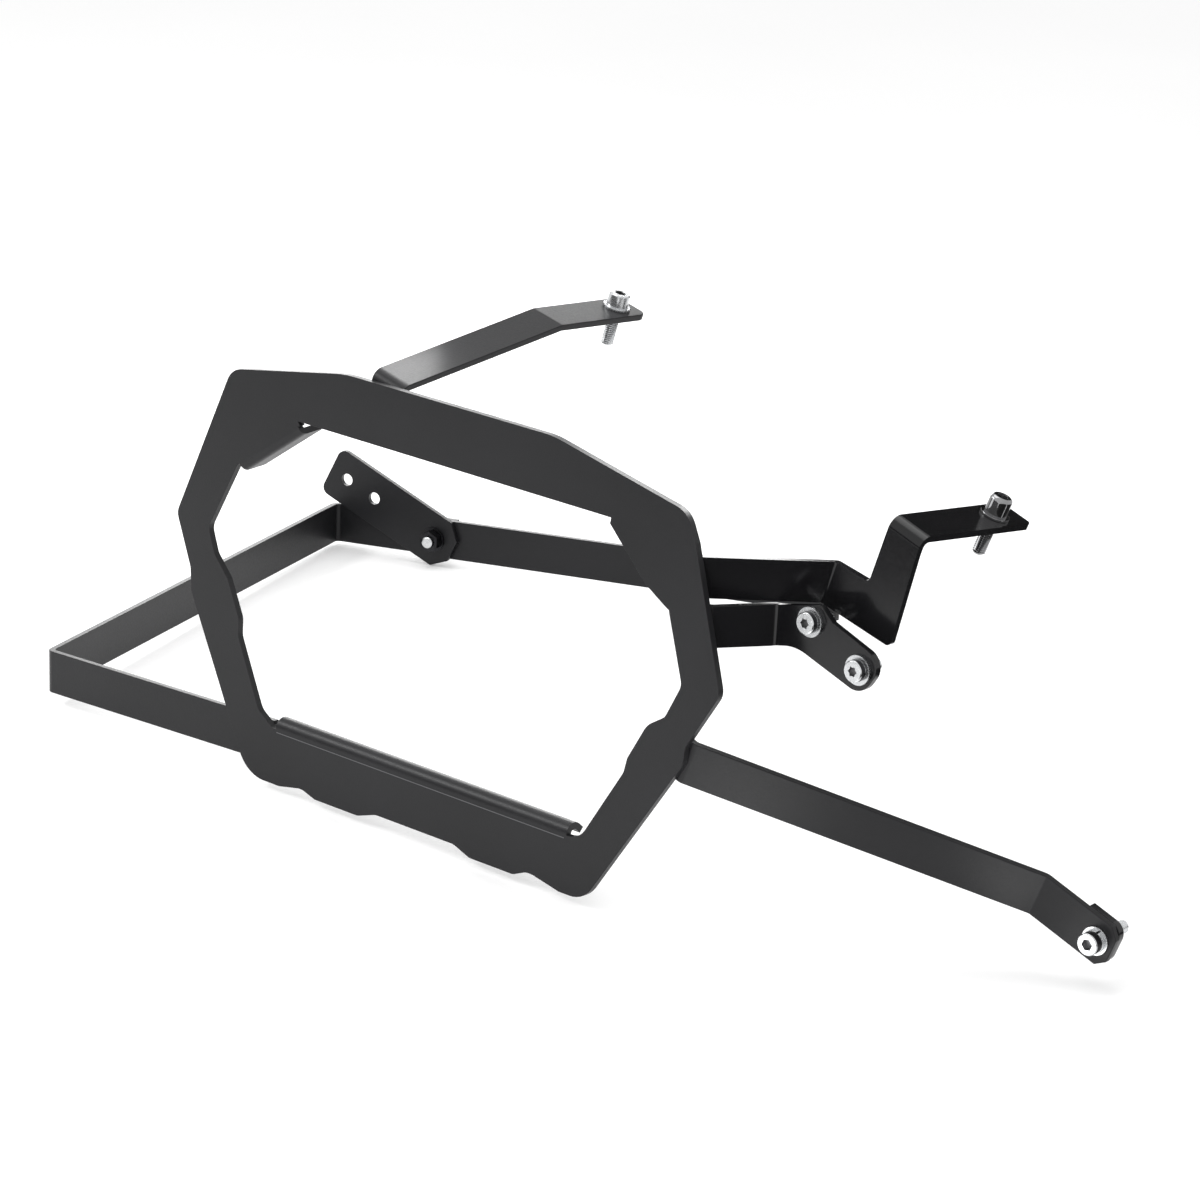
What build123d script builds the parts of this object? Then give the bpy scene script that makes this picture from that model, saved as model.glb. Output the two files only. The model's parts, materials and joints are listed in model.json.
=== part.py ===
import os
from math import cos, radians, sin, tan

from build123d import *

os.makedirs("parts", exist_ok=True)

# Pannier frame for the right side of a motorcycle, with its rear cross brace.
# +X points forward, +Y inwards to the motorcycle, +Z up. The origin is the centre of the
# carrier plate's outer face.

# Carrier plate
plate_length = 436.4
plate_height = 264.0
sheet = 4.0
upper_rail = 36.5
lower_rail = 35.0
opening_step = 3.5
recess_round = 8.0

# Lips folded back along the opening: a hook below and a guard across the rear corner
lip_relief = 2.0
hook_bend = 2.4
hook_rise = 6.5
hook_turn = 130.0
hook_flange = 14.0
guard_bend = 0.8
guard_rise = 5.0
guard_turn = 94.0
guard_flange = 17.0
guard_drop = 2.1

# Flat bars
bar = 4.0
bend_inside = 3.0
strut_width = 25.0
lower_strut_width = 27.0
brace_width = 27.0
bar_corner = 6.0
weld_leg = 3.5
weld_margin = 2.0

# Upper rear strut
strut_from_left = 170.1
strut_above_top = 3.7
strut_roll = 13.0
strut_foot = 30.0
strut_reach = 125.5
strut_rise = 8.6
strut_tail = 76.0
strut_drop = 3.6
strut_hole_margin = 15.2

# Front upper bracket
bracket_from_right = 22.9
bracket_below_top = 44.6
bracket_drop = 25.2
bracket_foot = 30.0
bracket_turn = 45.2
bracket_setback = 52.0
bracket_lean = 18.2
arm_shoulder = 24.5
arm_shoulder_drop = 5.5
arm_width = 26.8
heel_drop = 13.2
heel_reach = 50.0
arm_height = 66.4
arm_corner = 3.0
flange_width = 22.9
flange_length = 99.0
flange_slope = 6.8
flange_hole = 77.8

# Front tab bracket
tab_from_right = 15.9
tab_below_top = 95.0
tab_band = 24.0
tab_foot = 15.0
tab_turn = 58.7
tab_setback = 33.0
tab_heel_reach = 16.0
tab_heel_rise = 3.6
tab_heel_round = 28.0
tab_toe_reach = 64.4
tab_toe_drop = 12.8
tab_toe_round = 12.0
tab_end_reach = 78.9
tab_end_drop = 14.7
tab_end_round = 10.0
tab_neck_reach = 41.4
tab_neck_drop = 1.0
tab_peak_reach = 32.4
tab_peak_rise = 7.0
tab_shoulder_reach = 2.0
tab_corner = 3.0
upper_screw_reach = 26.5
upper_screw_drop = 3.6
lower_screw_reach = 61.9
lower_screw_drop = 22.0

# Lower front strut
lower_from_right = 24.9
lower_above_bottom = 100.1
lower_pitch = 22.0
lower_foot = 22.0
lower_run = 207.5
lower_turn = 36.7
lower_tab = 54.0
lower_tab_turn = 4.8
lower_hole_margin = 11.0
spacer_thickness = 5.0
spacer_length = 24.2
spacer_inset = 0.5
spacer_round = 8.0

# Rear braces and tail bracket
brace_from_left = 50.0
brace_above_bottom = 23.0
brace_pitch = 2.2
brace_foot = 36.0
brace_side_run = 168.6
brace_back_turn = 20.0
joint_rearward = 230.0
joint_inward = 413.0
joint_turn = 17.7
joint_overlap = 14.0
left_brace_run = 263.0
left_foot = 45.0
left_hole_margin = 11.0
left_hole_pitch = 22.0
tail_width = 36.0
tail_tip = 16.0
tail_length = 90.0
tail_tilt = 26.5
tail_chamfer = 10.0
tail_hole_margin = 14.0
tail_hole_pitch = 24.0

# Fasteners
bolt_diameter = 8.0
hole_clearance = 0.25
neck_relief = 0.2
head_diameter = 13.0
head_height = 8.0
low_head_height = 5.5
dome_height = 11.0
dome_bevel = 2.5
hex_across = 6.0
hex_depth = 4.0
edge_break = 0.6
thread_chamfer = 1.0
thread_free = 20.0
washer_diameter = 16.8
washer_thickness = 1.6
spring_diameter = 13.6
spring_thickness = 2.0
spring_split = 1.2
screw_flange_diameter = 17.0
screw_flange_thickness = 2.0
screw_head_diameter = 12.5
screw_head_height = 4.0
lobe_tip = 3.2
lobe_root = 2.3
lobe_depth = 3.0
screw_free = 12.0
nut_across = 13.0
nut_height = 6.5
nut_thread_proud = 3.0

# Values that follow from the driving dimensions
left = -plate_length / 2
right = plate_length / 2
top = plate_height / 2
bottom = -plate_height / 2
opening_top = top - upper_rail
fold_line = bottom + lower_rail
bracket_top = top - bracket_below_top
tab_bottom = top - tab_below_top
lower_height = bottom + lower_above_bottom
bar_middle = sheet + bar / 2
bend_middle = bend_inside + bar / 2
hole_radius = bolt_diameter / 2 + hole_clearance
neck_radius = bolt_diameter / 2 - neck_relief


def heading(angle):
    return Vector(cos(radians(angle)), sin(radians(angle)))


def bar_section(points):
    # The side view of a bent flat bar, drawn along its middle line
    with BuildSketch() as section:
        with BuildLine():
            FilletPolyline(*points, radius=bend_middle)
        trace(line_width=bar)
    return section.sketch


def seat(section_plane, spot, facing):
    # A plane on a bar's face, at a spot of the bar's section and looking out of the face
    origin = section_plane.from_local_coords((spot.X, spot.Y, 0))
    outside = section_plane.from_local_coords((spot.X + facing.X, spot.Y + facing.Y, 0))
    return Plane(origin, x_dir=section_plane.z_dir, z_dir=outside - origin)


def rounded(rows):
    return FilletPolyline(*[(x, z) for x, z, _ in rows], radius=[r for _, _, r in rows], close=True)


def keep(piece, name):
    piece.part.label = name
    export_step(piece.part, f"parts/{name}.step")


def corner(along, up, round_off=0):
    # A contour corner at shares of the plate's half length and half height, with its round
    return along * right, up * top, round_off


# Outer contour, from the rear waist over the top to the front foot
outer_corners = [
    corner(-1.000, 0.129, 8),
    corner(-0.799, 0.872, 15),
    corner(-0.366, 1.000, 80),
    corner(0.393, 1.000, 60),
    corner(0.858, 0.846, 15),
    corner(0.892, 0.723, 8),
    corner(1.000, 0.106, 10),
    corner(0.895, -0.164, 12),
    corner(0.892, -0.240, 10),
    corner(0.577, -1.000, 20),
]

# Shallow recesses between the feet: front end, floor's front and rear ends, rear end, depth
recesses = [
    (0.490, 0.394, 0.371, 0.325, 4.2),
    (0.165, 0.105, -0.188, -0.257, 4.7),
    (-0.422, -0.472, -0.486, -0.564, 3.2),
]
for front_end, floor_front, floor_rear, rear_end, depth in recesses:
    outer_corners += [
        (front_end * right, bottom, recess_round),
        (floor_front * right, bottom + depth, recess_round),
        (floor_rear * right, bottom + depth, recess_round),
        (rear_end * right, bottom, recess_round),
    ]
outer_corners += [
    corner(-0.693, -1.000, 24),
    corner(-0.934, -0.223, 8),
    corner(-0.940, -0.111, 8),
]

# Opening, from the upper rail down the front leg and up the rear leg to the guard's fold
guard_low = corner(-0.764, 0.439)
guard_high = (-0.527 * right, opening_top - guard_drop, 0)
opening_corners = [
    (-0.536 * right, opening_top, 0),
    (0.605 * right, opening_top, 0),
    (0.602 * right, opening_top - opening_step, 0),
    corner(0.732, 0.485, 20),
    corner(0.801, 0.417),
    corner(0.815, 0.405),
    corner(0.872, 0.098, 8),
    corner(0.822, -0.061, 6),
    corner(0.764, -0.121, 15),
    corner(0.703, -0.295, 8),
    corner(0.693, -0.364, 8),
    (0.550 * right, fold_line, 16),
    (-0.597 * right, fold_line, 4),
    corner(-0.654, -0.672, 10),
    corner(-0.742, -0.360, 10),
    corner(-0.742, -0.277, 8),
    corner(-0.790, -0.108, 8),
    corner(-0.846, -0.009, 8),
    corner(-0.872, 0.106, 8),
    guard_low,
    guard_high,
]

hook_rear = Vector(-0.592 * right, 0, fold_line)
hook_front = Vector(0.517 * right, 0, fold_line)
guard_rear = Vector(guard_low[0], 0, guard_low[1])
guard_front = Vector(guard_high[0], 0, guard_high[1])


def lip_section(bend, rise, turn, flange):
    # A lip's end view, drawn along the middle of the sheet: up from the fold line, over and back
    middle = bend + sheet / 2
    fold_corner = Vector(sheet / 2, rise - middle - sheet / 2 + middle * tan(radians(turn / 2)))
    flange_end = fold_corner + heading(90 - turn) * flange
    with BuildSketch() as section:
        with BuildLine():
            FilletPolyline(Vector(sheet / 2, 0), fold_corner, flange_end, radius=middle)
        trace(line_width=sheet)
    return section.sketch


lips = [
    (hook_rear, hook_front, lip_section(hook_bend, hook_rise, hook_turn, hook_flange)),
    (guard_front, guard_rear, lip_section(guard_bend, guard_rise, guard_turn, guard_flange)),
]

with BuildPart() as carrier_plate:
    with BuildSketch(Plane.XZ):
        with BuildLine():
            rounded(outer_corners)
        make_face()
        with BuildLine():
            rounded(opening_corners)
        make_face(mode=Mode.SUBTRACT)
    extrude(amount=-sheet)
    for fold_start, fold_end, section in lips:
        along = (fold_end - fold_start).normalized()
        with BuildSketch(Plane(fold_start + along * lip_relief, x_dir=(0, 1, 0), z_dir=along)):
            add(section)
        extrude(amount=(fold_end - fold_start).length - 2 * lip_relief)

# Upper rear strut: lies flat, rises inwards, then dips to its bolt
strut_plane = Plane(
    (left + strut_from_left, sheet, top + strut_above_top),
    x_dir=(0, 1, 0),
    z_dir=(cos(radians(strut_roll)), 0, -sin(radians(strut_roll))),
)
strut_root = Vector(bar / 2, -bar / 2)
strut_knee = strut_root + Vector(strut_reach, strut_reach * tan(radians(strut_rise)))
strut_way = heading(-strut_drop)
strut_path = [strut_root - Vector(0, strut_foot), strut_root, strut_knee, strut_knee + strut_way * strut_tail]
strut_section = bar_section(strut_path)
strut_up = heading(90 - strut_drop)
strut_spot = strut_knee + strut_way * (strut_tail - strut_hole_margin) + strut_up * (bar / 2)
strut_seat = seat(strut_plane, strut_spot, strut_up)

with BuildPart() as upper_rear_strut:
    with BuildSketch(strut_plane):
        add(strut_section)
    extrude(amount=strut_width / 2, both=True)
    strut_end = upper_rear_strut.faces().sort_by(Axis.Y)[-1]
    fillet(strut_end.edges().filter_by(GeomType.LINE).sort_by(SortBy.LENGTH)[:2], bar_corner)
    with BuildSketch(strut_seat):
        Circle(hole_radius)
    extrude(amount=-bar, mode=Mode.SUBTRACT)

# Front upper bracket: foot, band turned inwards, web with a raised arm, and a flange folded on top
lean_slope = tan(radians(bracket_lean))
bracket_root = Vector(right - bracket_from_right, bar_middle)
bracket_bend = bracket_root + Vector(bracket_setback / tan(radians(bracket_turn)), bracket_setback)
bracket_low = bracket_top - bracket_drop
heel = Vector(bracket_bend.X - bracket_drop * lean_slope + heel_reach, bracket_low - heel_drop)
arm_up = Vector(sin(radians(bracket_lean)), cos(radians(bracket_lean)))
arm_across = Vector(arm_up.Y, -arm_up.X)
arm_left = heel + arm_up * (arm_height - 2 * bend_middle) - arm_across * arm_width
arm_right = arm_left + arm_across * flange_width
shoulder = Vector(bracket_bend.X + arm_shoulder, bracket_top - arm_shoulder_drop)
bracket_path = [
    bracket_root - Vector(bracket_foot, 0),
    bracket_root,
    bracket_bend,
    Vector(arm_right.X + arm_width, bracket_bend.Y),
]
bracket_rows = [
    (bracket_root.X - 2 * bracket_foot, bracket_low, 0),
    (bracket_bend.X - bracket_drop * lean_slope, bracket_low, 0),
    (heel.X, heel.Y, arm_corner),
    (arm_right.X, arm_right.Y, 0),
    (arm_left.X, arm_left.Y, 0),
    (shoulder.X, shoulder.Y, arm_corner),
    (bracket_bend.X, bracket_top, 0),
    (bracket_root.X - 2 * bracket_foot, bracket_top, 0),
]
blank_rise = (arm_height + bracket_drop) * 2
blank_way = Vector(arm_up.X, 0, arm_up.Y)
flange_plane = Plane(
    (arm_left.X, bracket_bend.Y, arm_left.Y),
    x_dir=(0, 1, 0),
    z_dir=(arm_across.X, 0, arm_across.Y),
)
flange_corner = Vector(0, 2 * bend_middle)
flange_way = heading(-flange_slope)
flange_path = [Vector(0, -bar), flange_corner, flange_corner + flange_way * flange_length]
flange_up = heading(90 - flange_slope)
flange_spot = flange_corner + flange_way * flange_hole + flange_up * (bar / 2)
flange_seat = seat(flange_plane.offset(flange_width / 2), flange_spot, flange_up)
bracket_section = bar_section(bracket_path)
flange_section = bar_section(flange_path)

with BuildPart() as front_upper_bracket:
    with BuildSketch(Plane.XY.offset(bracket_top)):
        add(bracket_section)
    extrude(amount=blank_rise / 2, dir=blank_way, both=True)
    with BuildSketch(Plane.XZ):
        with BuildLine():
            rounded(bracket_rows)
        make_face()
    extrude(amount=-2 * (bracket_setback + bar_middle), mode=Mode.INTERSECT)
    with BuildSketch(flange_plane):
        add(flange_section)
    extrude(amount=flange_width)
    flange_end = front_upper_bracket.faces().sort_by(Axis.Y)[-1]
    fillet(flange_end.edges().filter_by(GeomType.LINE).sort_by(SortBy.LENGTH)[:2], arm_corner)
    with BuildSketch(flange_seat):
        Circle(hole_radius)
    extrude(amount=-bar, mode=Mode.SUBTRACT)

# Front tab bracket: level band with upright bends, and a slanted tab for two screws
tab_root = Vector(right - tab_from_right, bar_middle)
tab_bend = tab_root + Vector(tab_setback / tan(radians(tab_turn)), tab_setback)
tab_top = tab_bottom + tab_band
tab_path = [tab_root - Vector(tab_foot, 0), tab_root, tab_bend, tab_bend + Vector(tab_end_reach + tab_band, 0)]
tab_section = bar_section(tab_path)
tab_rows = [
    (tab_root.X - 2 * tab_foot, tab_bottom, 0),
    (tab_bend.X, tab_bottom, 0),
    (tab_bend.X + tab_heel_reach, tab_bottom + tab_heel_rise, tab_heel_round),
    (tab_bend.X + tab_toe_reach, tab_bottom - tab_toe_drop, tab_toe_round),
    (tab_bend.X + tab_end_reach, tab_top - tab_end_drop, tab_end_round),
    (tab_bend.X + tab_neck_reach, tab_top - tab_neck_drop, tab_corner),
    (tab_bend.X + tab_peak_reach, tab_top + tab_peak_rise, tab_corner),
    (tab_bend.X + tab_shoulder_reach, tab_top, 0),
    (tab_root.X - 2 * tab_foot, tab_top, 0),
]
upper_screw_spot = Vector(tab_bend.X + upper_screw_reach, tab_top - upper_screw_drop)
lower_screw_spot = Vector(tab_bend.X + lower_screw_reach, tab_top - lower_screw_drop)
tab_face = tab_bend.Y - bar / 2
tab_seats = [
    Plane((spot.X, tab_face, spot.Y), x_dir=(1, 0, 0), z_dir=(0, -1, 0))
    for spot in (upper_screw_spot, lower_screw_spot)
]

with BuildPart() as front_tab_bracket:
    with BuildSketch(Plane.XY.offset(tab_bottom - tab_band)):
        add(tab_section)
    extrude(amount=3 * tab_band)
    with BuildSketch(Plane.XZ):
        with BuildLine():
            rounded(tab_rows)
        make_face()
    extrude(amount=-2 * (tab_setback + bar_middle), mode=Mode.INTERSECT)
    with BuildSketch(*tab_seats):
        Circle(hole_radius)
    extrude(amount=-bar, mode=Mode.SUBTRACT)

# Lower front strut: slanted flat bar that turns inwards and ends in a chamfered tab
lower_plane = Plane(
    (right - lower_from_right, 0, lower_height),
    x_dir=(cos(radians(lower_pitch)), 0, -sin(radians(lower_pitch))),
    z_dir=(sin(radians(lower_pitch)), 0, cos(radians(lower_pitch))),
)
lower_root = Vector(0, bar_middle)
lower_bend = lower_root + heading(lower_turn) * lower_run
lower_way = heading(lower_tab_turn)
lower_path = [lower_root - Vector(lower_foot, 0), lower_root, lower_bend, lower_bend + lower_way * lower_tab]
lower_section = bar_section(lower_path)
lower_out = Vector(lower_way.Y, -lower_way.X)
lower_spot = lower_bend + lower_way * (lower_tab - lower_hole_margin) + lower_out * (bar / 2)
lower_seat = seat(lower_plane, lower_spot, lower_out)

with BuildPart() as lower_front_strut:
    with BuildSketch(lower_plane):
        add(lower_section)
    extrude(amount=lower_strut_width / 2, both=True)
    lower_end = lower_front_strut.faces().sort_by(Axis.X)[-1]
    chamfer(lower_end.edges().sort_by(SortBy.LENGTH)[:2], bar_corner)
    with BuildSketch(lower_seat):
        Circle(hole_radius)
    extrude(amount=-bar, mode=Mode.SUBTRACT)

# Spacer plate behind the strut's tab, rounded at its front end
spacer_front = lower_hole_margin - spacer_inset

with BuildPart() as lower_spacer:
    with BuildSketch(lower_seat.offset(-bar)) as spacer_sketch:
        with Locations((0, -spacer_front)):
            Rectangle(lower_strut_width, spacer_length, align=(Align.CENTER, Align.MIN))
        front_corners = spacer_sketch.vertices().sort_by(Axis.Y)[:2]
        fillet(front_corners, spacer_round)
        Circle(hole_radius, mode=Mode.SUBTRACT)
    extrude(amount=-spacer_thickness)

# Rear braces: bent flat bars in one gently pitched plane, bolted together with the tail bracket
brace_plane = Plane(
    (left + brace_from_left, 0, bottom + brace_above_bottom),
    x_dir=(cos(radians(brace_pitch)), 0, sin(radians(brace_pitch))),
    z_dir=(-sin(radians(brace_pitch)), 0, cos(radians(brace_pitch))),
)
joint_way = heading(joint_turn)
joint_in = heading(joint_turn + 90)
joint_spot = Vector(-joint_rearward, joint_inward)
right_end = joint_spot + joint_in * bar
brace_corner = Vector(-brace_side_run, bar_middle)
back_way = heading(90 + brace_back_turn)
back_run = (right_end - brace_corner).cross(joint_way).Z / back_way.cross(joint_way).Z
brace_path = [
    Vector(brace_foot, bar_middle),
    brace_corner,
    brace_corner + back_way * back_run,
    right_end + joint_way * joint_overlap,
]
left_bend = joint_spot + joint_way * left_brace_run
left_path = [joint_spot - joint_way * joint_overlap, left_bend, left_bend + Vector(left_foot, 0)]
right_section = bar_section(brace_path)
left_section = bar_section(left_path)
joint_back = seat(brace_plane, joint_spot + joint_in * (1.5 * bar), joint_in)
joint_front = seat(brace_plane, joint_spot - joint_in * (1.5 * bar), -joint_in)
left_seats = [
    seat(brace_plane, left_bend + Vector(left_foot - left_hole_margin - step, bar / 2), Vector(0, 1))
    for step in (0, left_hole_pitch)
]

with BuildPart() as rear_brace_right:
    with BuildSketch(brace_plane):
        add(right_section)
    extrude(amount=brace_width / 2, both=True)
    with BuildSketch(joint_back):
        Circle(hole_radius)
    extrude(amount=-bar, mode=Mode.SUBTRACT)

with BuildPart() as rear_brace_left:
    with BuildSketch(brace_plane):
        add(left_section)
    extrude(amount=brace_width / 2, both=True)
    with BuildSketch(joint_back.offset(-bar), *left_seats):
        Circle(hole_radius)
    extrude(amount=-bar, mode=Mode.SUBTRACT)

tail_fall = radians(tail_tilt)
tail_plane = Plane(
    joint_front.offset(-bar).origin,
    x_dir=-joint_front.y_dir * cos(tail_fall) - joint_front.x_dir * sin(tail_fall),
    z_dir=joint_front.z_dir,
)

with BuildPart() as tail_bracket:
    with BuildSketch(tail_plane) as tail_sketch:
        with Locations((tail_tip, 0)):
            Rectangle(tail_tip + tail_length, tail_width, align=(Align.MAX, Align.CENTER))
        tip_corners = tail_sketch.vertices().sort_by(Axis.X)[-2:]
        chamfer(tip_corners, tail_chamfer)
        rear_corners = tail_sketch.vertices().sort_by(Axis.X)[:2]
        fillet(rear_corners, bar_corner)
        far_hole = tail_hole_margin - tail_length
        with Locations((0, 0), (far_hole, 0), (far_hole + tail_hole_pitch, 0)):
            Circle(hole_radius, mode=Mode.SUBTRACT)
    extrude(amount=bar)


def socket_bolt(face, stack, grip, free, tall=head_height, bevel=edge_break):
    # Socket head bolt: the head stands on a stack of washers, the neck passes through the grip
    with BuildPart() as bolt:
        with BuildSketch(face.offset(stack)):
            Circle(head_diameter / 2)
        extrude(amount=tall)
        crown = bolt.faces().sort_by(Axis(face.origin, face.z_dir))[-1]
        chamfer(crown.edges(), bevel)
        with BuildSketch(face.offset(stack + tall)):
            RegularPolygon(hex_across / 2, 6, major_radius=False)
        extrude(amount=-hex_depth, mode=Mode.SUBTRACT)
        with BuildSketch(face.offset(stack)):
            Circle(neck_radius)
        extrude(amount=-(stack + grip))
        with BuildSketch(face.offset(-grip)):
            Circle(bolt_diameter / 2)
        extrude(amount=-free)
        thread_end = bolt.faces().sort_by(Axis(face.origin, face.z_dir))[0]
        chamfer(thread_end.edges(), thread_chamfer)
    return bolt


def flat_washer(face, lift, diameter):
    with BuildPart() as washer:
        with BuildSketch(face.offset(lift)):
            Circle(diameter / 2)
            Circle(hole_radius, mode=Mode.SUBTRACT)
        extrude(amount=washer_thickness)
    return washer


def flange_screw(face):
    # Low-head screw with its own flange and a six-lobed recess
    lobes = [heading(30 * step) * (lobe_root if step % 2 else lobe_tip) for step in range(12)]
    with BuildPart() as screw:
        with BuildSketch(face):
            Circle(screw_flange_diameter / 2)
        extrude(amount=screw_flange_thickness)
        with BuildSketch(face):
            Circle(screw_head_diameter / 2)
        extrude(amount=screw_flange_thickness + screw_head_height)
        crown = screw.faces().sort_by(Axis(face.origin, face.z_dir))[-1]
        chamfer(crown.edges(), edge_break)
        with BuildSketch(face.offset(screw_flange_thickness + screw_head_height)):
            with BuildLine():
                Polyline(*lobes, close=True)
            make_face()
        extrude(amount=-lobe_depth, mode=Mode.SUBTRACT)
        with BuildSketch(face):
            Circle(neck_radius)
        extrude(amount=-bar)
        with BuildSketch(face.offset(-bar)):
            Circle(bolt_diameter / 2)
        extrude(amount=-screw_free)
        thread_end = screw.faces().sort_by(Axis(face.origin, face.z_dir))[0]
        chamfer(thread_end.edges(), thread_chamfer)
    return screw


upper_rear_washer = flat_washer(strut_seat, 0, washer_diameter)
upper_rear_bolt = socket_bolt(strut_seat, washer_thickness, bar, thread_free)
upper_front_washer = flat_washer(flange_seat, 0, screw_flange_diameter)
upper_front_bolt = socket_bolt(flange_seat, washer_thickness, bar, thread_free, dome_height, dome_bevel)
upper_tab_screw = flange_screw(tab_seats[0])
lower_tab_screw = flange_screw(tab_seats[1])
lower_flat_washer = flat_washer(lower_seat, 0, washer_diameter)

with BuildPart() as lower_spring_washer:
    with BuildSketch(lower_seat.offset(washer_thickness)):
        Circle(spring_diameter / 2)
        Circle(hole_radius, mode=Mode.SUBTRACT)
        with Locations((spring_diameter / 2, 0)):
            Rectangle(spring_diameter, spring_split, mode=Mode.SUBTRACT)
    extrude(amount=spring_thickness)

lower_stack = washer_thickness + spring_thickness
lower_grip = bar + spacer_thickness
lower_front_bolt = socket_bolt(lower_seat, lower_stack, lower_grip, thread_free, low_head_height)

# Brace joint: head on the inner side, nut on the outer side
joint_grip = 3 * bar + washer_thickness
brace_head_washer = flat_washer(joint_back, 0, washer_diameter)
brace_nut_washer = flat_washer(joint_front, 0, washer_diameter)
brace_bolt = socket_bolt(joint_back, washer_thickness, joint_grip, nut_height + nut_thread_proud)

with BuildPart() as brace_nut:
    with BuildSketch(joint_front.offset(washer_thickness)):
        RegularPolygon(nut_across / 2, 6, major_radius=False)
        Circle(hole_radius, mode=Mode.SUBTRACT)
    extrude(amount=nut_height)


def foot_weld(section_plane, root, off_plate, onward, length, way=None):
    # Fillet weld across a foot's end, between the bar's end face and the plate's back
    with BuildPart() as bead:
        with BuildSketch(section_plane):
            with BuildLine():
                Polyline(root, root + off_plate * weld_leg, root + onward * weld_leg, close=True)
            make_face()
        extrude(amount=length, dir=way)
    return bead


inwards = Vector(0, 1)
forward = Vector(1, 0)
strut_weld = foot_weld(
    strut_plane.offset(weld_margin - strut_width / 2),
    Vector(0, strut_path[0].Y),
    forward,
    -inwards,
    strut_width - 2 * weld_margin,
)
bracket_weld = foot_weld(
    Plane.XY.offset(bracket_low + weld_margin),
    Vector(bracket_path[0].X - (bracket_drop - weld_margin) * lean_slope, sheet),
    inwards,
    -forward,
    (bracket_drop - 2 * weld_margin) / blank_way.Z,
    blank_way,
)
tab_weld = foot_weld(
    Plane.XY.offset(tab_bottom + weld_margin),
    Vector(tab_path[0].X, sheet),
    inwards,
    -forward,
    tab_band - 2 * weld_margin,
)
lower_weld = foot_weld(
    lower_plane.offset(weld_margin - lower_strut_width / 2),
    Vector(-lower_foot, sheet),
    inwards,
    -forward,
    lower_strut_width - 2 * weld_margin,
)
brace_weld = foot_weld(
    brace_plane.offset(weld_margin - brace_width / 2),
    Vector(brace_foot, sheet),
    inwards,
    forward,
    brace_width - 2 * weld_margin,
)

keep(carrier_plate, "carrier_plate")
keep(upper_rear_strut, "upper_rear_strut")
keep(front_upper_bracket, "front_upper_bracket")
keep(front_tab_bracket, "front_tab_bracket")
keep(lower_front_strut, "lower_front_strut")
keep(lower_spacer, "lower_spacer")
keep(rear_brace_right, "rear_brace_right")
keep(rear_brace_left, "rear_brace_left")
keep(tail_bracket, "tail_bracket")
keep(upper_rear_bolt, "upper_rear_bolt")
keep(upper_rear_washer, "upper_rear_washer")
keep(upper_front_bolt, "upper_front_bolt")
keep(upper_front_washer, "upper_front_washer")
keep(upper_tab_screw, "upper_tab_screw")
keep(lower_tab_screw, "lower_tab_screw")
keep(lower_front_bolt, "lower_front_bolt")
keep(lower_spring_washer, "lower_spring_washer")
keep(lower_flat_washer, "lower_flat_washer")
keep(brace_bolt, "brace_bolt")
keep(brace_head_washer, "brace_head_washer")
keep(brace_nut_washer, "brace_nut_washer")
keep(brace_nut, "brace_nut")
keep(strut_weld, "strut_weld")
keep(bracket_weld, "bracket_weld")
keep(tab_weld, "tab_weld")
keep(lower_weld, "lower_weld")
keep(brace_weld, "brace_weld")
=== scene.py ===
import json
import math

import bpy
from mathutils import Matrix, Vector

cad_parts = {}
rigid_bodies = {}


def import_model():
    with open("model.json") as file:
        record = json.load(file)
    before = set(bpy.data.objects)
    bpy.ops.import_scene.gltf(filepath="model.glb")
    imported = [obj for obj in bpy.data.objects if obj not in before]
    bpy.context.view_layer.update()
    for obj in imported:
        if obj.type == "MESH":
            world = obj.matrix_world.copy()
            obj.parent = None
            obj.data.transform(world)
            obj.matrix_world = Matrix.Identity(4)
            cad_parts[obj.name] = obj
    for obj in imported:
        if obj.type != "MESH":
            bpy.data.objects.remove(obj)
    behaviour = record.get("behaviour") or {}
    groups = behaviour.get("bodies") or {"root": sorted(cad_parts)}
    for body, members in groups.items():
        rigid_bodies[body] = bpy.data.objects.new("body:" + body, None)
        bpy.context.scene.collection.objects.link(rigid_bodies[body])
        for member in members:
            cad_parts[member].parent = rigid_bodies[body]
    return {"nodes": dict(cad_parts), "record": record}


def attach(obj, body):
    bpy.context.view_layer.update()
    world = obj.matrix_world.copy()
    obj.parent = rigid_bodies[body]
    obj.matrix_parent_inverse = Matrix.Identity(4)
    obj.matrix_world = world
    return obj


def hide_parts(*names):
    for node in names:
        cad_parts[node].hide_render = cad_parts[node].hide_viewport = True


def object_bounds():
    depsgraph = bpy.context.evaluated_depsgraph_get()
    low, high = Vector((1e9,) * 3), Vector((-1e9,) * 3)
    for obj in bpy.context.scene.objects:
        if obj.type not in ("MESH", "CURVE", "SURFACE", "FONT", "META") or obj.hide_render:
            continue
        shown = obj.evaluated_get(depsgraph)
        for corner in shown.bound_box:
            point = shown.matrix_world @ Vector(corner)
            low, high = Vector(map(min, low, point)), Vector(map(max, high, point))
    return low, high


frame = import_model()
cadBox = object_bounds()
nodes = frame["nodes"]
mounts = {mount["name"]: mount for mount in frame["record"]["mounts"]}
slotOf = {row["node"]: row["material_slot"] for row in frame["record"]["subparts"]}
print("loaded", len(nodes), "nodes")


# Selecting and editing

def deselectAll():
    bpy.ops.object.select_all(action="DESELECT")


def makeActive(piece):
    deselectAll()
    piece.select_set(True)
    bpy.context.view_layer.objects.active = piece


def editWhole(piece):
    makeActive(piece)
    bpy.ops.object.mode_set(mode="EDIT")
    bpy.ops.mesh.select_all(action="SELECT")


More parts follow.
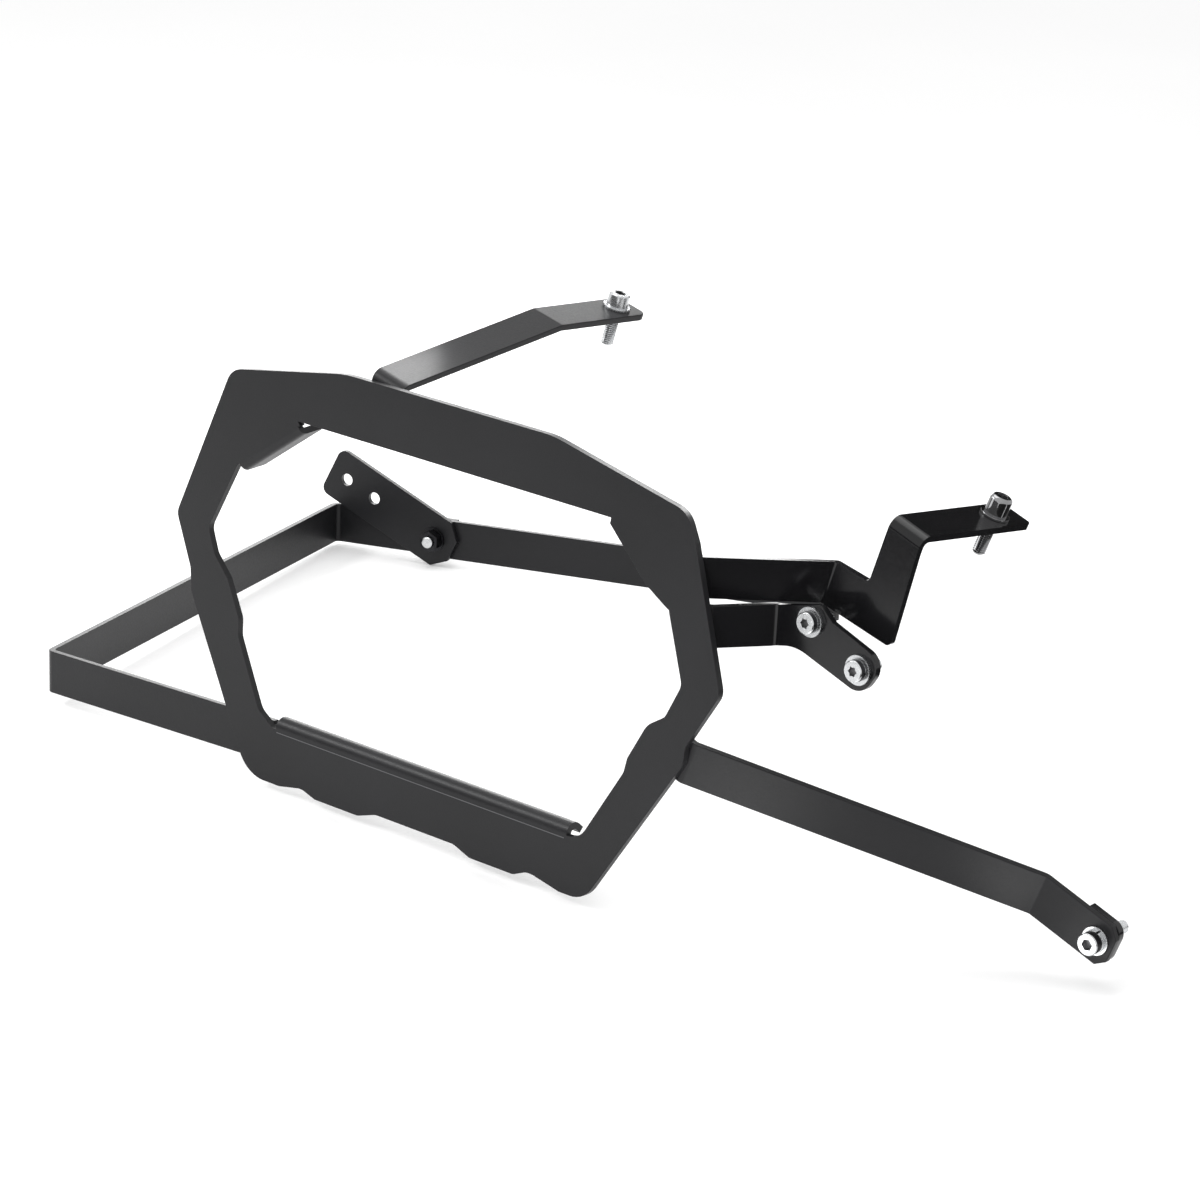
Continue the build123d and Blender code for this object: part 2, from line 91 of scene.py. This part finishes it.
def startSelection(piece, kind):
    makeActive(piece)
    bpy.ops.object.mode_set(mode="EDIT")
    bpy.ops.mesh.select_mode(type=kind)
    bpy.ops.mesh.select_all(action="DESELECT")
    bpy.ops.object.mode_set(mode="OBJECT")


def selectPoints(piece, chosen):
    startSelection(piece, "VERT")
    for vertex in piece.data.vertices:
        vertex.select = chosen(vertex.co)
    bpy.ops.object.mode_set(mode="EDIT")


def selectEdges(piece, chosen):
    startSelection(piece, "EDGE")
    for edge in piece.data.edges:
        edge.select = all(chosen(piece.data.vertices[end].co) for end in edge.vertices)
    bpy.ops.object.mode_set(mode="EDIT")


def selectFaces(piece, chosen):
    startSelection(piece, "FACE")
    for face in piece.data.polygons:
        face.select = chosen(face)
    bpy.ops.object.mode_set(mode="EDIT")


def leaveEdit():
    bpy.ops.mesh.select_mode(type="VERT")
    bpy.ops.object.mode_set(mode="OBJECT")


# Finishes

noiseSpan = {"low": 0.3, "high": 0.7}  # the part of a noise's range that tones and gloss are spread over


def newFinish(name):
    finish = bpy.data.materials.new(name)
    finish.use_nodes = True
    tree = finish.node_tree
    tree.nodes.clear()
    output = tree.nodes.new("ShaderNodeOutputMaterial")
    shader = tree.nodes.new("ShaderNodeBsdfPrincipled")
    tree.links.new(shader.outputs["BSDF"], output.inputs["Surface"])
    coords = tree.nodes.new("ShaderNodeTexCoord")
    return finish, tree, shader, coords


def addNoise(tree, coords, scale, detail):
    noise = tree.nodes.new("ShaderNodeTexNoise")
    noise.inputs["Scale"].default_value = scale
    noise.inputs["Detail"].default_value = detail
    tree.links.new(coords.outputs["Object"], noise.inputs["Vector"])
    return noise


def addRamp(tree, source, dark, light):
    ramp = tree.nodes.new("ShaderNodeValToRGB")
    ramp.color_ramp.elements[0].position = noiseSpan["low"]
    ramp.color_ramp.elements[0].color = (*dark, 1)
    ramp.color_ramp.elements[1].position = noiseSpan["high"]
    ramp.color_ramp.elements[1].color = (*light, 1)
    tree.links.new(source.outputs["Fac"], ramp.inputs["Fac"])
    return ramp


def addRange(tree, source, low, high):
    spread = tree.nodes.new("ShaderNodeMapRange")
    spread.inputs["From Min"].default_value = noiseSpan["low"]
    spread.inputs["From Max"].default_value = noiseSpan["high"]
    spread.inputs["To Min"].default_value = low
    spread.inputs["To Max"].default_value = high
    tree.links.new(source.outputs["Fac"], spread.inputs["Value"])
    return spread


def addBump(tree, shader, source, depth, strength, below=None):
    bump = tree.nodes.new("ShaderNodeBump")
    bump.inputs["Distance"].default_value = depth
    bump.inputs["Strength"].default_value = strength
    tree.links.new(source.outputs["Fac"], bump.inputs["Height"])
    if below is not None:
        tree.links.new(below.outputs["Normal"], bump.inputs["Normal"])
    tree.links.new(bump.outputs["Normal"], shader.inputs["Normal"])
    return bump


def addMath(tree, operation, first, second):
    step = tree.nodes.new("ShaderNodeMath")
    step.operation = operation
    for socket, value in zip(step.inputs, (first, second)):
        if isinstance(value, bpy.types.NodeSocket):
            tree.links.new(value, socket)
        else:
            socket.default_value = value
    return step.outputs["Value"]


powderCoat = {
    "dark": (0.0065, 0.0065, 0.0075),
    "light": (0.0100, 0.0100, 0.0115),
    "roughLow": 0.36,
    "roughHigh": 0.44,
    "shine": 0.29,
    "driftScale": 9.0,
    "driftDetail": 3.0,
    "peelScale": 850.0,
    "peelDetail": 2.0,
    "peelDepth": 0.00008,
    "grainScale": 3200.0,
    "grainDetail": 1.0,
    "grainDepth": 0.00003,
    "bump": 0.5,
}

glossCoat = dict(powderCoat)
glossCoat.update({
    "dark": (0.0045, 0.0045, 0.005),
    "light": (0.0075, 0.0075, 0.0085),
    "roughLow": 0.15,
    "roughHigh": 0.20,
    "shine": 0.36,
    "peelDepth": 0.00001,
    "grainDepth": 0.000004,
})

# where the painted highlight along the lower lip's press crease lies, and its lighter colour
creaseHighlight = {
    "height": -0.0989,
    "half": 0.0003,
    "rear": -0.1265,
    "front": 0.1090,
    "face": 0.0010,
    "tone": (0.085, 0.085, 0.09),
}


def paintCreaseHighlight(tree, coords, tone, shader, highlight):
    # painted highlight: a lighter band of coat along the press crease where the lower lip starts to
    # turn, standing in for light catching the crease
    place = tree.nodes.new("ShaderNodeSeparateXYZ")
    tree.links.new(coords.outputs["Object"], place.inputs["Vector"])
    highlightMask = addMath(tree, "COMPARE", place.outputs["Z"], highlight["height"])
    highlightMask.node.inputs[2].default_value = highlight["half"]  # the third socket is how far off still counts
    ends = (
        ("X", "GREATER_THAN", "rear"),
        ("X", "LESS_THAN", "front"),
        ("Y", "LESS_THAN", "face"),
    )
    for axis, operation, limit in ends:
        inside = addMath(tree, operation, place.outputs[axis], highlight[limit])
        highlightMask = addMath(tree, "MULTIPLY", highlightMask, inside)
    mix = tree.nodes.new("ShaderNodeMix")
    mix.data_type = "RGBA"
    mix.inputs["B"].default_value = (*highlight["tone"], 1)
    tree.links.new(highlightMask, mix.inputs["Factor"])
    tree.links.new(tone.outputs["Color"], mix.inputs["A"])
    tree.links.new(mix.outputs["Result"], shader.inputs["Base Color"])


def makeCoat(name, coat, paintedHighlight=None):
    finish, tree, shader, coords = newFinish(name)
    shader.inputs["Specular IOR Level"].default_value = coat["shine"]
    drift = addNoise(tree, coords, coat["driftScale"], coat["driftDetail"])
    peel = addNoise(tree, coords, coat["peelScale"], coat["peelDetail"])
    grain = addNoise(tree, coords, coat["grainScale"], coat["grainDetail"])
    tone = addRamp(tree, drift, coat["dark"], coat["light"])
    if paintedHighlight is None:
        tree.links.new(tone.outputs["Color"], shader.inputs["Base Color"])
    else:
        paintCreaseHighlight(tree, coords, tone, shader, paintedHighlight)
    gloss = addRange(tree, peel, coat["roughLow"], coat["roughHigh"])
    tree.links.new(gloss.outputs["Result"], shader.inputs["Roughness"])
    peelBump = addBump(tree, shader, peel, coat["peelDepth"], coat["bump"])
    addBump(tree, shader, grain, coat["grainDepth"], coat["bump"], peelBump)
    return finish


brightZinc = {
    "dark": (0.56, 0.57, 0.58),
    "light": (0.68, 0.69, 0.70),
    "roughLow": 0.22,
    "roughHigh": 0.30,
    "driftScale": 160.0,
    "driftDetail": 3.0,
    "lineScale": 1400.0,
    "lineDetail": 2.0,
    "lineDepth": 0.00001,
    "bump": 0.4,
}

darkChrome = dict(brightZinc)
darkChrome.update({
    "dark": (0.22, 0.22, 0.225),
    "light": (0.32, 0.32, 0.325),
    "roughLow": 0.08,
    "roughHigh": 0.14,
    "lineDepth": 0.000005,
})

blackZinc = dict(brightZinc)
blackZinc.update({
    "dark": (0.020, 0.020, 0.022),
    "light": (0.045, 0.045, 0.048),
    "roughLow": 0.30,
    "roughHigh": 0.44,
})

# darker metal painted into the bolt sockets: painted shade for the hollows
socketShade = dict(brightZinc)
socketShade.update({
    "dark": (0.22, 0.22, 0.224),
    "light": (0.34, 0.34, 0.346),
    "roughLow": 0.30,
    "roughHigh": 0.42,
})


def makeMetal(name, metal):
    finish, tree, shader, coords = newFinish(name)
    shader.inputs["Metallic"].default_value = 1.0
    drift = addNoise(tree, coords, metal["driftScale"], metal["driftDetail"])
    lines = addNoise(tree, coords, metal["lineScale"], metal["lineDetail"])
    tone = addRamp(tree, drift, metal["dark"], metal["light"])
    tree.links.new(tone.outputs["Color"], shader.inputs["Base Color"])
    gloss = addRange(tree, lines, metal["roughLow"], metal["roughHigh"])
    tree.links.new(gloss.outputs["Result"], shader.inputs["Roughness"])
    addBump(tree, shader, lines, metal["lineDepth"], metal["bump"])
    return finish


finishes = {
    "frame_black": makeCoat("satinPowderCoat", powderCoat),
    "bracket_black": makeCoat("glossPowderCoat", glossCoat),
    "zinc_steel": makeMetal("brightZinc", brightZinc),
    "dark_chrome": makeMetal("darkChrome", darkChrome),
    "black_steel": makeMetal("blackZinc", blackZinc),
}
# the plate's coat, carrying the painted highlight line along the lip's crease
coatWithPaintedHighlight = makeCoat("powderCoatPaintedHighlight", powderCoat, creaseHighlight)
paintedRecessShade = makeMetal("socketShade", socketShade)
print("finishes made:", ", ".join(finishes))


def dress(piece, slotName):
    piece.data.materials.clear()
    piece.data.materials.append(finishes[slotName])


# The domed bolt head, set out along its bolt's axis

def alongAxis(mount, point):
    # height above the thread's middle, towards the head, and distance from the axis
    offset = point - Vector(mount["pos_m"])
    height = -offset.dot(Vector(mount["axis"]))
    return height, (offset + Vector(mount["axis"]) * height).length


def crownHeight(piece, mount):
    return max(alongAxis(mount, vertex.co)[0] for vertex in piece.data.vertices)


def drawIn(mount, share):
    # what is selected comes nearer to the bolt's axis
    bpy.ops.transform.resize(
        value=(share, share, 1),
        orient_type="GLOBAL",
        orient_matrix=Vector(mount["axis"]).to_track_quat("Z", "Y").to_matrix(),
        orient_matrix_type="GLOBAL",
        center_override=Vector(mount["pos_m"]),
    )


domedHead = {
    "node": "upper_front_bolt",
    "thread": "upper_front_thread",
    "shoulder": 0.0025,  # how far below the crown the dome starts
    "side": 0.0065,  # radius of the head
    "rim": 0.0040,  # radius of the flat crown
    "steps": 8,
    "slack": 0.0002,
    "level": 0.00002,  # edges this near the crown are on it
}


def roundDome(piece):
    # the slanted cap comes off, and the dome is drawn up from the shoulder ring by ring
    mount = mounts[domedHead["thread"]]
    axis = Vector(mount["axis"])
    slack = domedHead["slack"]
    crown = crownHeight(piece, mount)

    def below(point):
        return crown - alongAxis(mount, point)[0]

    def inCap(face):
        corners = [piece.data.vertices[corner].co for corner in face.vertices]
        return all(below(point) < domedHead["shoulder"] + slack for point in corners)

    def onShoulder(point):
        level = abs(below(point) - domedHead["shoulder"]) < slack
        return level and abs(alongAxis(mount, point)[1] - domedHead["side"]) < slack

    def onCrown(point):
        return below(point) < domedHead["level"]

    selectFaces(piece, inCap)
    bpy.ops.mesh.delete(type="FACE")
    leaveEdit()
    selectEdges(piece, onShoulder)
    bend = domedHead["side"] - domedHead["rim"]
    angles = [math.pi / 2 * step / domedHead["steps"] for step in range(domedHead["steps"] + 1)]
    for last, angle in zip(angles, angles[1:]):
        rise = domedHead["shoulder"] * (math.sin(angle) - math.sin(last))
        lower = domedHead["rim"] + bend * math.cos(last)
        upper = domedHead["rim"] + bend * math.cos(angle)
        bpy.ops.mesh.extrude_region_move(TRANSFORM_OT_translate={"value": -axis * rise})
        drawIn(mount, upper / lower)
    leaveEdit()
    selectEdges(piece, onCrown)
    bpy.ops.mesh.bridge_edge_loops()
    bpy.ops.mesh.select_all(action="SELECT")
    bpy.ops.mesh.normals_make_consistent(inside=False)
    leaveEdit()


# Painted and plated pieces: copies of the solids with their edges broken

cleanUp = {"merge": 0.00001, "flat": 0.5}
sheetEdge = {"width": 0.0006, "segments": 3, "limit": 35.0, "smooth": 40.0}
platedEdge = {"width": 0.00025, "segments": 2, "limit": 35.0, "smooth": 40.0}


def brokenEdges(nodeName, pieceName, edge):
    piece = bpy.data.objects.new(pieceName, nodes[nodeName].data.copy())
    bpy.context.scene.collection.objects.link(piece)
    editWhole(piece)
    bpy.ops.mesh.customdata_custom_splitnormals_clear()
    bpy.ops.mesh.remove_doubles(threshold=cleanUp["merge"])
    bpy.ops.mesh.dissolve_limited(angle_limit=math.radians(cleanUp["flat"]))
    leaveEdit()
    if nodeName == domedHead["node"]:
        roundDome(piece)
    bevel = piece.modifiers.new("edgeBreak", "BEVEL")
    bevel.limit_method = "ANGLE"
    bevel.angle_limit = math.radians(edge["limit"])
    bevel.width = edge["width"]
    bevel.segments = edge["segments"]
    bpy.ops.object.modifier_apply(modifier="edgeBreak")
    editWhole(piece)
    bpy.ops.mesh.remove_doubles(threshold=cleanUp["merge"])
    leaveEdit()
    bpy.ops.object.shade_smooth_by_angle(angle=math.radians(edge["smooth"]))
    flatten = piece.modifiers.new("flatFaces", "WEIGHTED_NORMAL")
    flatten.keep_sharp = True
    bpy.ops.object.modifier_apply(modifier="flatFaces")
    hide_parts(nodeName)
    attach(piece, "root")
    dress(piece, slotOf[nodeName])


sheetPieces = {
    "carrier_plate": "carrierPlate",
    "upper_rear_strut": "upperRearStrut",
    "lower_front_strut": "lowerFrontStrut",
    "rear_brace_right": "rearBraceRight",
    "rear_brace_left": "rearBraceLeft",
    "tail_bracket": "tailBracket",
    "front_upper_bracket": "frontUpperBracket",
    "front_tab_bracket": "frontTabBracket",
    "lower_spacer": "lowerSpacer",
}
for nodeName, pieceName in sheetPieces.items():
    brokenEdges(nodeName, pieceName, sheetEdge)
# the plate gets the coat with the painted highlight along its lip's crease
bpy.data.objects["carrierPlate"].data.materials[0] = coatWithPaintedHighlight
print("sheet and bar pieces dressed:", len(sheetPieces))

platedPieces = {
    "upper_rear_bolt": "upperRearBolt",
    "upper_rear_washer": "upperRearWasher",
    "upper_front_bolt": "upperFrontBolt",
    "upper_front_washer": "upperFrontWasher",
    "upper_tab_screw": "upperTabScrew",
    "lower_tab_screw": "lowerTabScrew",
    "lower_front_bolt": "lowerFrontBolt",
    "lower_spring_washer": "lowerSpringWasher",
    "lower_flat_washer": "lowerFlatWasher",
    "brace_bolt": "braceBolt",
    "brace_head_washer": "braceHeadWasher",
    "brace_nut_washer": "braceNutWasher",
    "brace_nut": "braceNut",
}
for nodeName, pieceName in platedPieces.items():
    brokenEdges(nodeName, pieceName, platedEdge)
print("fasteners dressed:", len(platedPieces))


# Sockets and threads, each set out along its bolt's axis

hexSocket = {"recess": 0.0036, "depth": 0.0041}
starSocket = {"recess": 0.0034, "depth": 0.0031}
boltHeads = {
    "upper_rear_bolt": {"thread": "upper_rear_thread", **hexSocket},
    "upper_front_bolt": {"thread": "upper_front_thread", **hexSocket},
    "lower_front_bolt": {"thread": "lower_front_thread", **hexSocket, "side": 0.0065},
    "upper_tab_screw": {"thread": "upper_tab_thread", **starSocket, "side": 0.00625},
    "lower_tab_screw": {"thread": "lower_tab_thread", **starSocket, "side": 0.00625},
}
headShade = {
    "lip": 0.0003,  # the socket's own edge stays bright
    "slack": 0.0002,
    "upright": 0.1,  # a side face leans no more than this along the axis
}


def coverFaces(piece, finish, chosen):
    piece.data.materials.append(finish)
    selectFaces(piece, chosen)
    piece.active_material_index = len(piece.data.materials) - 1
    bpy.ops.object.material_slot_assign()
    leaveEdit()


def shadeHead(nodeName, head):
    piece = bpy.data.objects[platedPieces[nodeName]]
    mount = mounts[head["thread"]]
    crown = crownHeight(piece, mount)

    def inSocket(face):
        height, radius = alongAxis(mount, face.center)
        return radius < head["recess"] and headShade["lip"] < crown - height < head["depth"]

    def inSideShade(face):
        radius = alongAxis(mount, face.center)[1]
        lean = abs(face.normal.dot(Vector(mount["axis"])))
        return abs(radius - head["side"]) < headShade["slack"] and lean < headShade["upright"]

    # the socket's floor and walls take the darker metal: painted shade
    coverFaces(piece, paintedRecessShade, inSocket)
    # the head's side wall takes near-black metal: painted shade along the wall
    if "side" in head:
        coverFaces(piece, finishes["black_steel"], inSideShade)


for nodeName, head in boltHeads.items():
    shadeHead(nodeName, head)
print("bolt heads shaded:", len(boltHeads))

screwThread = {
    "pitch": 0.00125,
    "core": 0.87,  # share of the crest's radius
    "width": 0.0012,
    "steps": 28,
    "above": 0.0005,  # how far past the thread the shank is thinned
    "inner": 0.6,  # points nearer the axis than this share of the crest stay
    "tall": 1.1,  # the ridge's height, as a share of the thread's depth
    "seat": 0.267,  # the ridge's middle, as a share of that depth
    "merge": 0.000001,
    "smooth": 30.0,
}


def cutThread(nodeName, head):
    bolt = bpy.data.objects[platedPieces[nodeName]]
    mount = mounts[head["thread"]]
    crest = mount["dims"]["r_mm"] / 1000
    length = mount["dims"]["length_mm"] / 1000

    def onShank(point):
        height, radius = alongAxis(mount, point)
        return height < length / 2 + screwThread["above"] and radius > crest * screwThread["inner"]

    selectPoints(bolt, onShank)
    drawIn(mount, screwThread["core"])
    leaveEdit()
    deselectAll()
    core = crest * screwThread["core"]
    depth = crest - core
    around = screwThread["width"] / math.sqrt(3)
    evenHeight = 1.5 * around  # of a triangle with equal sides
    bpy.ops.mesh.primitive_circle_add(vertices=3, radius=around, fill_type="NOTHING", location=(0, 0, 0))
    ridge = bpy.context.object
    ridge.name = platedPieces[nodeName] + "Thread"
    ridge.scale = (1, depth * screwThread["tall"] / evenHeight, 1)
    ridge.rotation_euler = (math.radians(90), math.radians(90), 0)
    ridge.location = (core + depth * screwThread["seat"], 0, -length / 2)
    bpy.ops.object.transform_apply(location=True, rotation=True, scale=True)
    helix = ridge.modifiers.new("helix", "SCREW")
    helix.axis = "Z"
    helix.screw_offset = screwThread["pitch"]
    helix.iterations = int(length / screwThread["pitch"])
    helix.steps = screwThread["steps"]
    helix.render_steps = screwThread["steps"]
    bpy.ops.object.modifier_apply(modifier="helix")
    editWhole(ridge)
    bpy.ops.mesh.remove_doubles(threshold=screwThread["merge"])
    bpy.ops.mesh.fill_holes(sides=3)
    bpy.ops.mesh.normals_make_consistent(inside=False)
    leaveEdit()
    ridge.rotation_mode = "QUATERNION"
    ridge.rotation_quaternion = Vector(mount["axis"]).to_track_quat("Z", "Y")
    ridge.location = Vector(mount["pos_m"])
    bpy.ops.object.transform_apply(location=True, rotation=True, scale=True)
    bpy.ops.object.shade_smooth_by_angle(angle=math.radians(screwThread["smooth"]))
    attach(ridge, "root")
    dress(ridge, slotOf[nodeName])


for nodeName, head in boltHeads.items():
    cutThread(nodeName, head)
print("threads cut:", len(boltHeads))


# Weld beads, laid in ripples along each foot's end

weldBead = {
    "radius": 0.0026,
    "flat": 0.8,  # a ripple's length along the run, as a share of its width
    "segments": 20,
    "rings": 12,
    "pitch": 0.0017,
    "voxel": 0.00045,
}


def weldEnds(nodeName):
    points = [vertex.co.copy() for vertex in nodes[nodeName].data.vertices]
    first = max(points, key=lambda p: (p - points[0]).length)
    far = max(points, key=lambda p: (p - first).length)
    middle = (first + far) / 2
    way = (far - first).normalized()
    near = [p for p in points if (p - middle).dot(way) < 0]
    other = [p for p in points if (p - middle).dot(way) >= 0]
    return sum(near, Vector()) / len(near), sum(other, Vector()) / len(other)


def layWeld(nodeName, pieceName):
    start, end = weldEnds(nodeName)
    way = (end - start).normalized()
    count = int((end - start).length / weldBead["pitch"])
    deselectAll()
    bpy.ops.mesh.primitive_uv_sphere_add(
        segments=weldBead["segments"],
        ring_count=weldBead["rings"],
        radius=weldBead["radius"],
        location=(0, 0, 0),
    )
    bead = bpy.context.object
    bead.name = pieceName
    bead.scale = (1, 1, weldBead["flat"])
    bead.rotation_mode = "QUATERNION"
    bead.rotation_quaternion = way.to_track_quat("Z", "Y")
    bead.location = start + way * weldBead["pitch"]
    bpy.ops.object.transform_apply(location=True, rotation=True, scale=True)
    ripples = bead.modifiers.new("ripples", "ARRAY")
    ripples.use_relative_offset = False
    ripples.use_constant_offset = True
    ripples.constant_offset_displace = way * weldBead["pitch"]
    ripples.count = count - 1
    bpy.ops.object.modifier_apply(modifier="ripples")
    run = bead.modifiers.new("run", "REMESH")
    run.mode = "VOXEL"
    run.voxel_size = weldBead["voxel"]
    bpy.ops.object.modifier_apply(modifier="run")
    bpy.ops.object.shade_smooth()
    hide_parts(nodeName)
    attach(bead, "root")
    dress(bead, slotOf[nodeName])


welds = {
    "strut_weld": "strutWeld",
    "bracket_weld": "bracketWeld",
    "tab_weld": "tabWeld",
    "lower_weld": "lowerWeld",
    "brace_weld": "braceWeld",
}
for nodeName, pieceName in welds.items():
    layWeld(nodeName, pieceName)
print("welds laid:", len(welds))


# Floor and the black flags that shape the reflections

floor = {
    "size": 30.0,
    "drop": 0.0005,
    "dark": (0.90, 0.90, 0.90),
    "light": (0.93, 0.93, 0.93),
    "scale": 1.5,
    "detail": 2.0,
    "rough": 0.9,
    "shine": 0.1,
    "lift": 0.14,
}


def seenRay(tree):
    rays = tree.nodes.new("ShaderNodeLightPath").outputs
    mirrored = addMath(tree, "MAXIMUM", rays["Is Glossy Ray"], rays["Is Transmission Ray"])
    return addMath(tree, "MAXIMUM", rays["Is Camera Ray"], mirrored)


def layFloor():
    deselectAll()
    bpy.ops.mesh.primitive_plane_add(size=floor["size"], location=(0, 0, cadBox[0].z - floor["drop"]))
    ground = bpy.context.object
    ground.name = "paleFloor"
    finish, tree, shader, coords = newFinish("palePaper")
    drift = addNoise(tree, coords, floor["scale"], floor["detail"])
    tone = addRamp(tree, drift, floor["dark"], floor["light"])
    tree.links.new(tone.outputs["Color"], shader.inputs["Base Color"])
    shader.inputs["Roughness"].default_value = floor["rough"]
    shader.inputs["Specular IOR Level"].default_value = floor["shine"]
    shader.inputs["Emission Color"].default_value = (1, 1, 1, 1)
    lift = addMath(tree, "MULTIPLY", seenRay(tree), floor["lift"])
    tree.links.new(lift, shader.inputs["Emission Strength"])
    ground.data.materials.append(finish)


layFloor()

floorCards = {"rise": 0.001, "aimHeight": 1.0}


def faceUp(x, y):
    # a card or light that lies just above the floor
    return {"place": (x, y, cadBox[0].z + floorCards["rise"]), "aim": (x, y, floorCards["aimHeight"])}


def turnTo(rig, front):
    return (Vector(rig["aim"]) - Vector(rig["place"])).to_track_quat(front, "Y")


flags = {
    "rightFlag": {**faceUp(0.75, 0.65), "size": (0.9, 0.8)},
    "sideFlag": {**faceUp(1.05, -0.15), "size": (1.1, 0.7)},
    "bandFlag": {**faceUp(0.44, -0.19), "size": (0.22, 0.26)},
    "rearFlag": {"place": (-0.12, 0.95, 0.55), "aim": (0.20, 0.10, 0.10), "size": (0.7, 0.6)},
    "leftFlag": {"place": (-0.80, -0.95, 0.03), "aim": (0.0, 0.0, 0.0), "size": (1.2, 0.32)},
    "frontFlag": {**faceUp(-0.24, -0.64), "size": (0.28, 0.32)},
}
flagCloth = {
    "dark": (0.008, 0.008, 0.008),
    "light": (0.014, 0.014, 0.014),
    "scale": 40.0,
    "detail": 2.0,
    "rough": 1.0,
}


def makeCloth():
    finish, tree, shader, coords = newFinish("flagCloth")
    weave = addNoise(tree, coords, flagCloth["scale"], flagCloth["detail"])
    tone = addRamp(tree, weave, flagCloth["dark"], flagCloth["light"])
    tree.links.new(tone.outputs["Color"], shader.inputs["Base Color"])
    shader.inputs["Roughness"].default_value = flagCloth["rough"]
    return finish


def hangFlag(name, flag, finish):
    deselectAll()
    bpy.ops.mesh.primitive_plane_add(size=1, location=flag["place"])
    card = bpy.context.object
    card.name = name
    card.scale = (*flag["size"], 1)
    card.rotation_mode = "QUATERNION"
    card.rotation_quaternion = turnTo(flag, "Z")
    card.visible_camera = False
    card.visible_diffuse = False
    card.visible_shadow = False
    card.visible_transmission = False
    card.data.materials.append(finish)


blackCloth = makeCloth()
for name, flag in flags.items():
    hangFlag(name, flag, blackCloth)
print("floor laid, flags hung:", len(flags))


# Light and camera

softboxes = {
    "topSoftbox": {
        "place": (-0.3, 0.2, 1.6),
        "aim": (0.0, 0.1, 0.0),
        "size": (1.4, 1.0),
        "watts": 9.0,
    },
    "leftSoftbox": {
        "place": (-1.34, -1.00, 1.15),
        "aim": (0.0, 0.0, 0.0),
        "size": (1.0, 0.3),
        "watts": 14.0,
    },
    "rearSoftbox": {
        "place": (-1.05, 1.10, 0.38),
        "aim": (0.0, 0.1, 0.1),
        "size": (0.8, 0.5),
        "watts": 7.5,
    },
    "strutSoftbox": {
        "place": (-0.075, 0.048, 0.185),
        "aim": (-0.045, 0.018, 0.138),
        "size": (0.04, 0.04),
        "watts": 0.044,
    },
    "rimSoftbox": {
        "place": (0.13, 0.107, 0.21),
        "aim": (0.15, 0.0, 0.11),
        "size": (0.16, 0.08),
        "watts": 0.09,
        "spread": 60,
    },
    "footCard": {**faceUp(0.26, -0.06), "size": (0.08, 0.08), "watts": 0.05},
    "bendCard": {**faceUp(0.37, 0.075), "size": (0.05, 0.05), "watts": 0.02},
    "headCard": {
        "place": (0.235, 0.082, 0.116),
        "aim": (0.293, 0.13, 0.117),
        "size": (0.03, 0.03),
        "watts": 0.005,
    },
    "frontStrip": {
        "place": (0.35, -0.80, -0.02),
        "aim": (0.25, 0.0, 0.0),
        "size": (0.25, 0.2),
        "watts": 0.6,
    },
}
openSpread = 180  # a softbox without a grid


def hangSoftbox(name, box):
    lamp = bpy.data.lights.new(name, "AREA")
    lamp.shape = "RECTANGLE"
    lamp.size, lamp.size_y = box["size"]
    lamp.energy = box["watts"]
    lamp.spread = math.radians(box.get("spread", openSpread))
    holder = bpy.data.objects.new(name, lamp)
    bpy.context.scene.collection.objects.link(holder)
    holder.visible_camera = False
    holder.location = box["place"]
    holder.rotation_euler = turnTo(box, "-Z").to_euler()


for name, box in softboxes.items():
    hangSoftbox(name, box)

room = {"fill": 0.85, "backdrop": 1.0}


def lightRoom():
    world = bpy.data.worlds.new("paleRoom")
    bpy.context.scene.world = world
    world.use_nodes = True
    tree = world.node_tree
    tree.nodes.clear()
    output = tree.nodes.new("ShaderNodeOutputWorld")
    fill = tree.nodes.new("ShaderNodeBackground")
    backdrop = tree.nodes.new("ShaderNodeBackground")
    fill.inputs["Strength"].default_value = room["fill"]
    backdrop.inputs["Strength"].default_value = room["backdrop"]
    for lit in (fill, backdrop):
        lit.inputs["Color"].default_value = (1, 1, 1, 1)
    mix = tree.nodes.new("ShaderNodeMixShader")
    tree.links.new(seenRay(tree), mix.inputs["Fac"])
    tree.links.new(fill.outputs["Background"], mix.inputs[1])
    tree.links.new(backdrop.outputs["Background"], mix.inputs[2])
    tree.links.new(mix.outputs["Shader"], output.inputs["Surface"])


lightRoom()
print("studio lit:", len(softboxes), "softboxes")

shot = {
    "aim": (0.12705, 0.0, 0.0467),
    "azimuth": 41.9,
    "elevation": 17.2,
    "roll": 3.0,
    "distance": 2.7,
    "lens": 146.04,
    "sensor": 36.0,
    "reach": 100.0,
}


def placeCamera():
    a, e, r = (math.radians(shot[name]) for name in ("azimuth", "elevation", "roll"))
    level = Vector((math.cos(a), math.sin(a), 0))
    upright = Vector((-math.sin(a) * math.sin(e), math.cos(a) * math.sin(e), math.cos(e)))
    back = Vector((math.sin(a) * math.cos(e), -math.cos(a) * math.cos(e), math.sin(e)))
    right = level * math.cos(r) + upright * math.sin(r)
    up = upright * math.cos(r) - level * math.sin(r)
    view = bpy.data.cameras.new("photoView")
    view.lens = shot["lens"]
    view.sensor_width = shot["sensor"]
    view.clip_end = shot["reach"]
    camera = bpy.data.objects.new("photoView", view)
    bpy.context.scene.collection.objects.link(camera)
    turn = Matrix((right, up, back)).transposed().to_4x4()
    camera.matrix_world = Matrix.Translation(Vector(shot["aim"]) + back * shot["distance"]) @ turn
    bpy.context.scene.camera = camera


placeCamera()
bpy.context.scene.view_settings.view_transform = "Standard"
print("camera placed")
